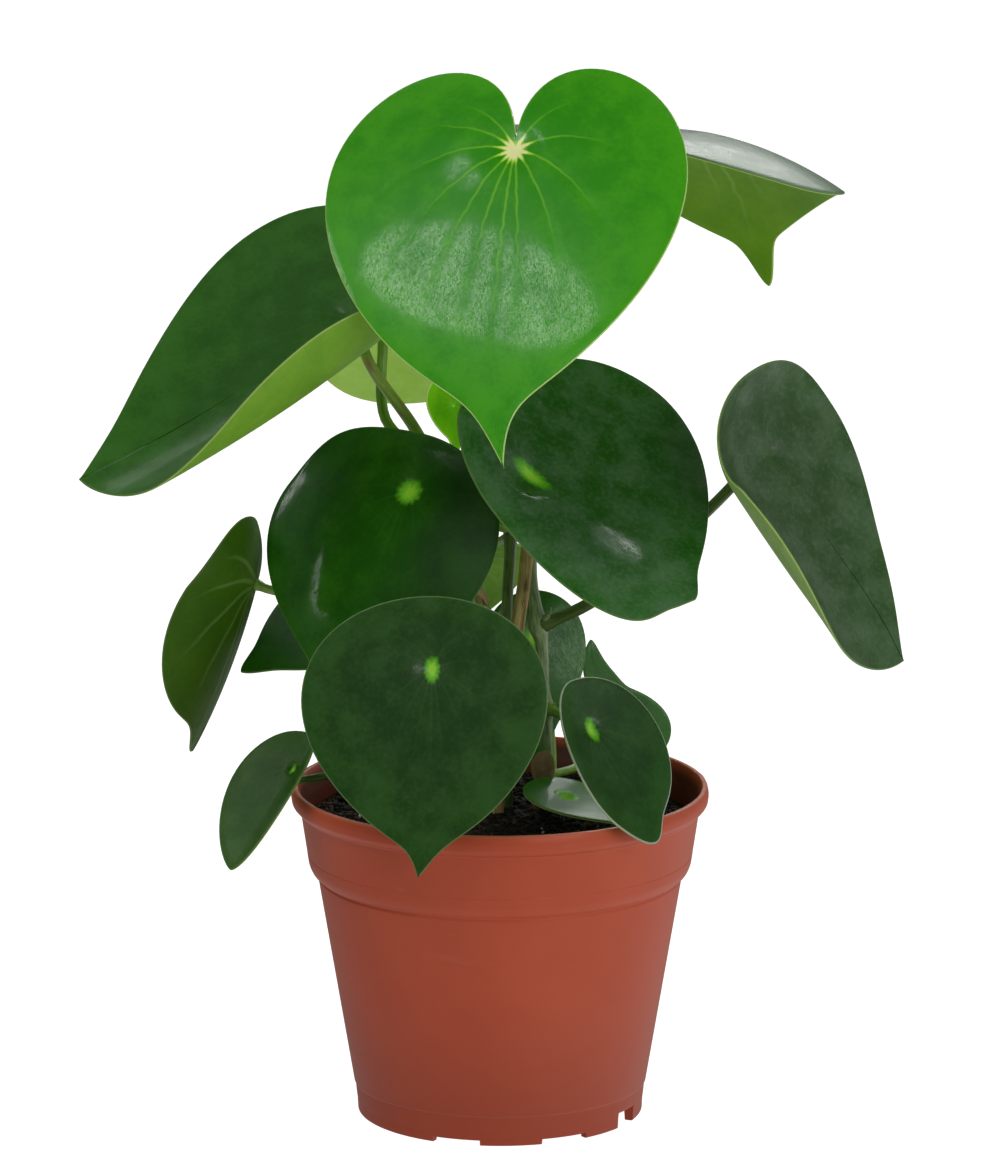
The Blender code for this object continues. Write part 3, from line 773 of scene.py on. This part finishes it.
green_skin = stalk_skin("stem_green", seen(66, 92, 40), seen(120, 150, 84), seen(110, 104, 70))
grey_skin = stalk_skin("stem_grey_green", seen(84, 112, 70), seen(160, 180, 130))
tan_skin = wood_skin("stem_tan")
stalk_green = stalk_skin("stalk_green", seen(104, 146, 44), seen(150, 188, 84))
stalk_red = stalk_skin("stalk_blushed", seen(110, 148, 40), seen(160, 190, 70), seen(142, 96, 44))
stalk_olive = stalk_skin("stalk_olive", seen(60, 84, 30), seen(104, 128, 62))
print("stem and stalk finishes made")

# %% [markdown]
# Each stem is a list of places on its way, with its radius there. Each petiole has the stem it
# leaves, the height it leaves at, its radius at both ends and the places on its way. These are the
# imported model's numbers. The small growths of the stems are only here: a bud and a short spur
# where leaves came off, and the stub of an old stalk. A stem swells a little at every stalk.

# %% Stems
SOIL_LEVEL = 88.0
STEM_BASE = 76.0
STEMS = {
    "left_stem": (green_skin, "stem_green", [
        (2, 5, STEM_BASE, 1.7), (2, 5, 92, 1.7), (2, 6, 122, 1.8), (2, 7, 146, 1.6), (3, 8, 166, 1.7),
        (2, 8, 187, 1.6), (1, 7, 198, 1.5)]),
    "woody_stem": (tan_skin, "stem_woody", [
        (-1, -3, STEM_BASE, 2.1), (-1, -3, 92, 2.1), (3, -4, 122, 2.1), (5, -4, 143, 2.0),
        (7, -4, 157, 1.9), (8, -5, 168, 1.9), (8.5, -5.5, 174, 1.7)]),
    "right_stem": (grey_skin, "stem_green", [
        (14, 2, STEM_BASE, 1.8), (14, 2, 92, 1.8), (13.5, 3, 112, 1.7), (13, 3, 118, 2.2),
        (12.5, 3, 124, 1.7), (12, 3, 136, 1.8), (11, 3, 142, 2.5), (10, 3.5, 149, 1.7),
        (9, 4, 157, 1.6), (9, 6, 172, 1.6), (10, 8, 187, 1.5)]),
}
PETIOLES = {
    "heart_top": ("left_stem", "top", 1.5, 1.5, [(2, 2, 220), (3, -7, 250)]),
    "left_up": ("left_stem", 131, 2.0, 1.5, [(-6, 7, 150), (-13, 14, 174), (-24, 17, 196),
                                             (-36, 10, 215)]),
    "right_out": ("right_stem", 142, 1.8, 1.6, [(25, 0, 149), (43, -2, 162), (60, 1, 177)]),
    "back_right": ("right_stem", "top", 1.5, 1.5, [(13, 12, 209), (21, 17, 237), (36, 22, 264)]),
    "centre_left": ("left_stem", 170, 1.5, 1.5, [(-6, 3, 173), (-14, 1, 175)]),
    "centre_right": ("woody_stem", "top", 1.6, 1.5, [(9, -7.5, 179.5), (8.5, -13, 184)]),
    "front_low": ("woody_stem", 121, 1.7, 1.5, [(-6, -25, 128), (-14, -42, 133)]),
    "left_mid": ("left_stem", 121, 1.5, 1.3, [(-11, 5, 134), (-29, 6, 145), (-49, 9, 148)]),
    "left_low": ("woody_stem", 109, 1.4, 1.2, [(-20, -9, 110), (-43, -15, 104)]),
    "left_behind": ("left_stem", 112, 1.3, 1.2, [(-14, 14, 123), (-32, 20, 133)]),
    "right_low": ("right_stem", 118, 1.4, 1.2, [(20, -12, 118), (23, -24, 117)]),
    "behind_stem": ("right_stem", 94, 1.3, 1.2, [(15, 20, 92), (15, 30, 100), (13, 33, 116)]),
    "right_behind": ("right_stem", 98, 1.3, 1.1, [(22, 20, 96), (32, 33, 99)]),
    "soil_leaf": ("right_stem", 90.5, 0.9, 0.9, [(17.5, -9, 90.2)]),
    "pale_back": ("left_stem", 176, 1.6, 1.5, [(-9, 18, 181), (-20, 26, 186), (-33, 34, 196)]),
    "young_centre": ("left_stem", 186, 1.0, 0.9, [(-3, 16, 194), (-9, 22, 200)]),
    "back_centre": ("left_stem", 167, 1.2, 1.1, [(-3, 20, 161), (-7, 29, 150)]),
}
STRAIGHT_TO = 92
STEM_SWELL = 0.16
SWELL_LONG = 2.2
SPURS = {
    "node_bud": (grey_skin, "stem_green", [
        (11, 3, 142, 1.5), (12.3, 2, 143.4, 1.3), (13.7, 0.5, 145.6, 0.8), (14.6, -1, 148.2, 0.25)]),
    "low_spur": (stalk_green, "stem_green", [
        (13.2, 3, 115.5, 1.1), (14, 0.5, 117.4, 1.0), (14.9, -1, 118.8, 0.6), (15.7, -1.5, 120.4, 0.2)]),
    "old_stub": (tan_skin, "stem_woody", [
        (-5, 6, 149, 1.5), (-4.6, 2, 149.8, 1.5), (-5.7, -2, 152.5, 1.3), (-6.8, -4, 155.3, 0.7)]),
}
stem_lines = {}
for name, (skin, slot, route) in STEMS.items():
    line = smooth(route, 10)
    foot = line[:, 2] < STRAIGHT_TO
    line[foot, :2] = route[0][:2]
    stem_lines[name] = line
    swell = np.ones(len(line))
    for stem, height, *_ in PETIOLES.values():
        if stem == name and height != "top":
            swell += STEM_SWELL * np.exp(-((line[:, 2] - height) / SWELL_LONG) ** 2)
    tube(name + "_fine", line[:, :3], line[:, 3] * swell, skin, [name], ribs=0.05)
    print(name, "rises", round(line[-1, 2] - SOIL_LEVEL), "mm out of the soil")
for name, (skin, slot, route) in SPURS.items():
    line = smooth(route, 6)
    tube(name, line[:, :3], line[:, 3], skin)
print("spurs and stubs:", len(SPURS))

# %% [markdown]
# A petiole is the leaf's own stalk. It leaves the stem in a small collar, arches out and up, and
# runs into the navel from below, a little wider where the two grow together. Most are green.
# The long one at the left is flushed brown, and the one at the right is olive where it is old.

# %% Petioles
GAP = 0.3
BLADE_T = 1.2
INTO_BLADE = 0.8
COLLAR_SWELL = 0.45
NAVEL_SWELL = 0.35
PETIOLE_SKIN = {"left_up": stalk_red, "right_out": stalk_olive, "left_low": stalk_olive,
                "soil_leaf": stalk_olive}


def petiole_line(name):
    """Points from inside the stem's skin to inside the blade above the navel."""
    stem, height, _, _, route = PETIOLES[name]
    leaf = LEAVES[name]
    up = facing(leaf)[:, 2]
    navel = np.array(leaf["navel"], float)
    end = navel - up * (leaf["dimple"] + BLADE_T + GAP + 0.1 + 0.4 * leaf["notch"])
    before = end - up * (1.2 if name == "soil_leaf" else 5.0)
    line = stem_lines[stem]
    if height == "top":
        root = line[-1, :3] - (line[-1, :3] - line[-4, :3]) * 0.3
    else:
        root = np.array([*[np.interp(height, line[:, 2], line[:, i]) for i in (0, 1)], height])
    points = smooth([root, *route, before, end], 8)
    into_blade = navel - up * (leaf["dimple"] + INTO_BLADE)
    return np.vstack([points, into_blade])


for name, (_, height, r0, r1, _) in PETIOLES.items():
    line = petiole_line(name)
    way = np.concatenate([[0], np.cumsum(np.linalg.norm(np.diff(line, axis=0), axis=1))])
    share = way / way[-1]
    radii = r0 + (r1 - r0) * share
    if height != "top":
        radii = radii * (1 + COLLAR_SWELL * np.exp(-((way - 2.0) / 2.5) ** 2))
    radii = radii * (1 + NAVEL_SWELL * np.exp(-((way[-1] - way) / 1.6) ** 2))
    skin = PETIOLE_SKIN.get(name, stalk_green)
    tube(name + "_stalk_fine", line, radii, skin, [name + "_petiole"])
print("petioles:", len(PETIOLES))

# %% [markdown]
# The pot is injection moulded: one thin wall turned round an axis, with a collar that lets pots
# stack, a rolled rim and a foot ring with shallow notches, two of them tall enough to drain. Its
# half section is a short list of corners, each rounded off.

# %% The pot's section
BODY_LOW = (42.1, 8.9)
BODY_HIGH = (52.25, 69.9)
COLLAR_LOW = (54.9, 73.3)
COLLAR_HIGH = (57.3, 89.3)
RIM_R = 60.0
RIM_TOP = 96.0
WALL = 1.4
FOOT_R = 41.0
FOOT_W = 2.4
FLOOR_Z = 5.6
FLOOR_T = 1.6
SEAM_Z = 76.7


def between(low, high, z):
    """Radius at a height on the straight line between two (radius, height) points."""
    return low[0] + (z - low[1]) * (high[0] - low[0]) / (high[1] - low[1])


def rounded(corners, steps=5):
    """A profile through (radius, height, rounding) corners, each turned into a soft bend."""
    points = [np.array(corners[0][:2], float)]
    for before, here, after in zip(corners, corners[1:], corners[2:]):
        here_at = np.array(here[:2], float)
        to_before = np.array(before[:2]) - here_at
        to_after = np.array(after[:2]) - here_at
        start = here_at + to_before * min(0.5, here[2] / np.linalg.norm(to_before))
        end = here_at + to_after * min(0.5, here[2] / np.linalg.norm(to_after))
        for u in np.linspace(0, 1, steps):
            points.append((1 - u) ** 2 * start + 2 * u * (1 - u) * here_at + u ** 2 * end)
    points.append(np.array(corners[-1][:2], float))
    return np.array(points)


floor_top = FLOOR_Z + FLOOR_T
floor_edge = between(BODY_LOW, BODY_HIGH, floor_top) - WALL
seam_r = between(COLLAR_LOW, COLLAR_HIGH, SEAM_Z)
corners = [
    (0.01, floor_top, 0),
    (floor_edge, floor_top, 1.4),
    (BODY_HIGH[0] - WALL, BODY_HIGH[1] + 0.7, 0.8),
    (COLLAR_LOW[0] - WALL, COLLAR_LOW[1] + 0.3, 0.8),
    (COLLAR_HIGH[0] - WALL, COLLAR_HIGH[1] + 0.1, 0.8),
    (RIM_R - 2.4, RIM_TOP - 1.0, 0.4),
    (RIM_R - 1.9, RIM_TOP, 0.3),
    (RIM_R - 0.5, RIM_TOP - 0.1, 0.5),
    (RIM_R, RIM_TOP - 2.3, 1.0),
    (RIM_R - 0.3, RIM_TOP - 4.6, 0.5),
    (RIM_R - 1.5, RIM_TOP - 6.0, 0.7),
    (COLLAR_HIGH[0], COLLAR_HIGH[1], 0.7),
    (seam_r + 0.02, SEAM_Z + 0.25, 0.1),
    (seam_r - 0.10, SEAM_Z, 0.1),
    (seam_r - 0.02, SEAM_Z - 0.25, 0.1),
    (COLLAR_LOW[0], COLLAR_LOW[1], 0.9),
    (COLLAR_LOW[0] - 0.9, COLLAR_LOW[1] - 1.9, 0.5),
    (BODY_HIGH[0] - 0.15, BODY_HIGH[1] + 0.1, 0.35),
    (BODY_HIGH[0] + 0.05, BODY_HIGH[1] - 0.6, 0.3),
    (BODY_LOW[0], BODY_LOW[1], 0.15),
    (BODY_LOW[0] - 0.35, BODY_LOW[1] - 0.25, 0.1),
    (FOOT_R + 0.5, FLOOR_Z + 0.3, 0.8),
    (FOOT_R + 0.15, FLOOR_Z - 2.5, 0.5),
    (FOOT_R, 0, 0.5),
    (FOOT_R - FOOT_W, 0, 0.3),
    (FOOT_R - FOOT_W - 0.4, FLOOR_Z, 0.5),
    (0.01, FLOOR_Z, 0),
]
section = rounded(corners)
print("pot section:", len(section), "points")

# %% [markdown]
# Going round the axis point by point lets the notches be pushed up into the foot without any
# cutting. Two turns close together at each side of a notch keep its sides upright. The rim is a
# little ragged, as the moulding left it.

# %% The pot
POT_TURNS = 240
BESIDE = 0.06
RAG_FINE = 14
RAG = 0.16
SMALL_NOTCH = (14, 1.6)
TALL_NOTCH = (9, 4.6)
NOTCHES = dict.fromkeys((-18, 27, 118, 162, 207), SMALL_NOTCH)
NOTCHES.update(dict.fromkeys((62, 242), TALL_NOTCH))


def half_notch(width):
    """Half of a notch's width, as a turn in degrees."""
    return math.degrees(math.atan(width / 2 / (FOOT_R - 1)))


def notch_height(turn):
    """How high the foot is cut away at a turn from the front, in millimetres."""
    for middle, (width, height) in NOTCHES.items():
        off = (turn - middle + 180) % 360 - 180
        if abs(off) < half_notch(width):
            return height
    return 0.0


turns = set(np.linspace(0, 360, POT_TURNS + 1)[:-1])
for middle, (width, _) in NOTCHES.items():
    reach = half_notch(width)
    for off in (-reach - BESIDE, -reach + BESIDE, reach - BESIDE, reach + BESIDE):
        turns.add((middle + off) % 360)
turns = sorted(turns)
pot_points = []
for turn in turns:
    lift = notch_height(turn)
    a = math.radians(turn - 90)
    rag = noise.noise(Vector((math.cos(a) * RAG_FINE, math.sin(a) * RAG_FINE, 3))) * RAG
    for r, z in section:
        if z > RIM_TOP - 0.6:
            r = r + rag * 0.6
            z = z + min(rag, 0)
        if r > FOOT_R - FOOT_W - 1.0 and z < lift:
            z = lift
        pot_points.append((r * math.cos(a), r * math.sin(a), z))
rows = len(section)
pot_faces = []
for k in range(len(turns)):
    n = (k + 1) % len(turns)
    for i in range(rows - 1):
        pot_faces.append((k * rows + i, n * rows + i, n * rows + i + 1, k * rows + i + 1))
print("pot turns:", len(turns))

# %% [markdown]
# Terracotta-coloured polypropylene has a satin skin. It is not quite even: the pigment clouds a
# little and handling leaves faint scuffs. The upper edge and the foot's corner get a paler line,
# painted highlight where these edges catch the light. Inside, near the soil, the wall is darkened
# as painted shade, and the whole pot is a little darker towards the bottom.

# %% Pot finish
plain = {"Coat Weight": 0.05, "Specular IOR Level": 0.25}
pot_skin, pot_shader, place = finish("pot_plastic", plain)
px, py, pz = place.split()
pigment = place.grain(28, 3.0)
skin_grain = place.grain(900, 2.0)
scuffs = place.stretch(1, 1, 6).grain(45, 4.0, 0.7, 0.4).fade(0.62, 0.72)
ring = (px * px + py * py) ** 0.5
colour = pigment.fade(0.3, 0.7).tint(seen(196, 84, 54), seen(202, 90, 60))
colour = (scuffs * 0.09).tint(colour, seen(206, 140, 118))
# A paler line along the upper edge and at the foot's corner: painted highlight where the edges catch
# light.
edge_line = pz.fade(0.0953, 0.0958) * (0.5 + pigment * 0.5)
foot_line = pz.fade(0.0083, 0.0087) * (1 - pz.fade(0.0089, 0.0093))
colour = (edge_line * 0.6 + foot_line * 0.35).tint(colour, seen(222, 130, 100))
# Just above the soil the inside wall is darkened: painted shade, down in the pot.
outside = (ring - pz * 0.29 - 0.0311).fade(-0.0004, 0.0004)
stain = (1 - outside) * pz.fade(0.080, 0.083) * (1 - pz.fade(0.0925, 0.0955))
colour = (stain * 0.8).tint(colour, seen(52, 30, 22))
colour = ((1 - pz.fade(0.0, 0.055)) * 0.55).tint(colour, seen(150, 62, 40))
height = skin_grain * 0.012 + pigment * 0.05 + scuffs * 0.01
dress(pot_shader, colour, 0.40 + pigment * 0.1 + scuffs * 0.1, height)
SHARP_OVER = 38
pot = piece("pot_fine", pot_points, pot_faces, [pot_skin], ["pot"])
pot.data.set_sharp_from_angle(angle=math.radians(SHARP_OVER))
print("pot faces:", len(pot_faces))

# %% [markdown]
# Potting soil is peat crumbs, fibres and a few white grains of perlite. The bed is one mesh that
# fills the pot, its top a shallow heap, pushed up and down by two noises.

# %% Soil bed
SOIL_EDGE = 86.0
SOIL_MID = 88.5
SOIL_GAP = 0.4
collar_in = between(COLLAR_LOW, COLLAR_HIGH, SOIL_EDGE) - WALL
soil_r = collar_in - SOIL_GAP


def soil_height(x, y):
    """Height of the soil's top, a shallow heap with lumps."""
    share = min(math.hypot(x, y) / soil_r, 1.0)
    heap = SOIL_MID + (SOIL_EDGE - SOIL_MID) * share ** 2
    lumps = noise.noise(Vector((x / 5, y / 5, 1))) * 0.9
    grit = noise.noise(Vector((x / 1.8, y / 1.8, 4))) * 0.5
    return heap - 0.4 + (lumps + grit)


soil_spokes = 150
soil_rings = 34
top_rows = [(soil_r * k / soil_rings, None) for k in range(1, soil_rings + 1)]
side_rows = [
    (between(COLLAR_LOW, COLLAR_HIGH, 80) - WALL - SOIL_GAP, 80),
    (COLLAR_LOW[0] - WALL - SOIL_GAP, COLLAR_LOW[1] + 0.5),
    (BODY_HIGH[0] - WALL - SOIL_GAP, BODY_HIGH[1] + 0.9),
    (floor_edge - SOIL_GAP, floor_top + 1.6),
    (floor_edge - 1.2 - GAP, floor_top + GAP),
]
bed_points = []
for r, z in top_rows + side_rows:
    for j in range(soil_spokes):
        a = math.tau * j / soil_spokes
        x, y = r * math.cos(a), r * math.sin(a)
        bed_points.append((x, y, soil_height(x, y) if z is None else z))
bed_points.append((0, 0, soil_height(0, 0)))
bed_points.append((0, 0, floor_top + GAP))
bed_rows = len(top_rows + side_rows)
top_centre = bed_rows * soil_spokes
bed_faces = hoops(0, bed_rows, soil_spokes, top_centre, top_centre + 1)
bed_faces = [(first, *others[::-1]) for first, *others in bed_faces]


def earth(name, dark, light, rough=0.9):
    """Matt peat, darker and lighter from crumb to crumb."""
    material, shader, place = finish(name, {"Specular IOR Level": 0.25})
    crumbs = place.grain(420, 4.0, 0.7)
    patches = place.grain(120, 2.0)
    colour = (crumbs * 0.6 + patches * 0.4).fade(0.35, 0.68).tint(dark, light)
    dress(shader, colour, rough - crumbs * 0.2, crumbs * 0.6)
    return material


peat = earth("peat", seen(12, 9, 7), seen(38, 28, 22))
piece("soil_bed", bed_points, bed_faces, [peat], ["soil"])
print("soil bed faces:", len(bed_faces))

# %% [markdown]
# On the bed lie thousands of small crumbs. Each is a squashed icosahedron with its corners shifted
# by a seeded draw, so that every run strews them alike, and each kind is joined in one mesh.

# %% Crumbs, bark and perlite
draw = np.random.default_rng(7)
GOLDEN = (1 + 5 ** 0.5) / 2
pairs = [(a, b) for b in (GOLDEN, -GOLDEN) for a in (-1, 1)]
ICO = [(a, b, 0) for a, b in pairs] + [(0, a, b) for a, b in pairs] + [(b, 0, a) for a, b in pairs]
ICO = np.array(ICO) / (1 + GOLDEN ** 2) ** 0.5
ICO_FACES = [(0, 11, 5), (0, 5, 1), (0, 1, 7), (0, 7, 10), (0, 10, 11), (1, 5, 9), (5, 11, 4),
             (11, 10, 2), (10, 7, 6), (7, 1, 8), (3, 9, 4), (3, 4, 2), (3, 2, 6), (3, 6, 8),
             (3, 8, 9), (4, 9, 5), (2, 4, 11), (6, 2, 10), (8, 6, 7), (9, 8, 1)]


def scatter(name, amount, sizes, stretch, material, sink=0.3):
    """Crumbs strewn over the soil, as one mesh."""
    points = []
    faces = []
    while len(points) < amount:
        x, y = draw.uniform(-soil_r, soil_r, 2)
        size = draw.uniform(*sizes)
        if math.hypot(x, y) > soil_r - size * 1.3:
            continue
        shape = ICO * draw.uniform(0.7, 1.25, (12, 1))
        shape = shape * (1, draw.uniform(0.5, 1), draw.uniform(0.4, 0.8))
        shape[:, 0] *= draw.uniform(1, stretch)
        spin = Matrix.Rotation(draw.uniform(0, math.tau), 3, "Z")
        lean = Matrix.Rotation(draw.uniform(-0.5, 0.5), 3, "Y")
        shape = shape @ np.array(spin @ lean).T * size
        start = len(points) * 12
        faces += [tuple(start + v for v in face) for face in ICO_FACES]
        points.append(shape + (x, y, soil_height(x, y) + size * (0.4 - sink)))
    return piece(name, np.vstack(points), faces, [material])


bark = earth("bark_bits", seen(58, 38, 26), seen(104, 72, 50))
perlite = earth("perlite", seen(168, 160, 148), seen(214, 208, 196), rough=0.8)
crumbs = scatter("soil_crumbs", 3600, (0.4, 1.3), 1.5, peat)
chips = scatter("soil_bark", 260, (0.4, 1.1), 4.0, bark)
grains = scatter("soil_perlite", 34, (0.35, 0.9), 1.2, perlite, sink=0.1)
print("crumb faces:", sum(len(made.data.polygons) for made in (crumbs, chips, grains)))
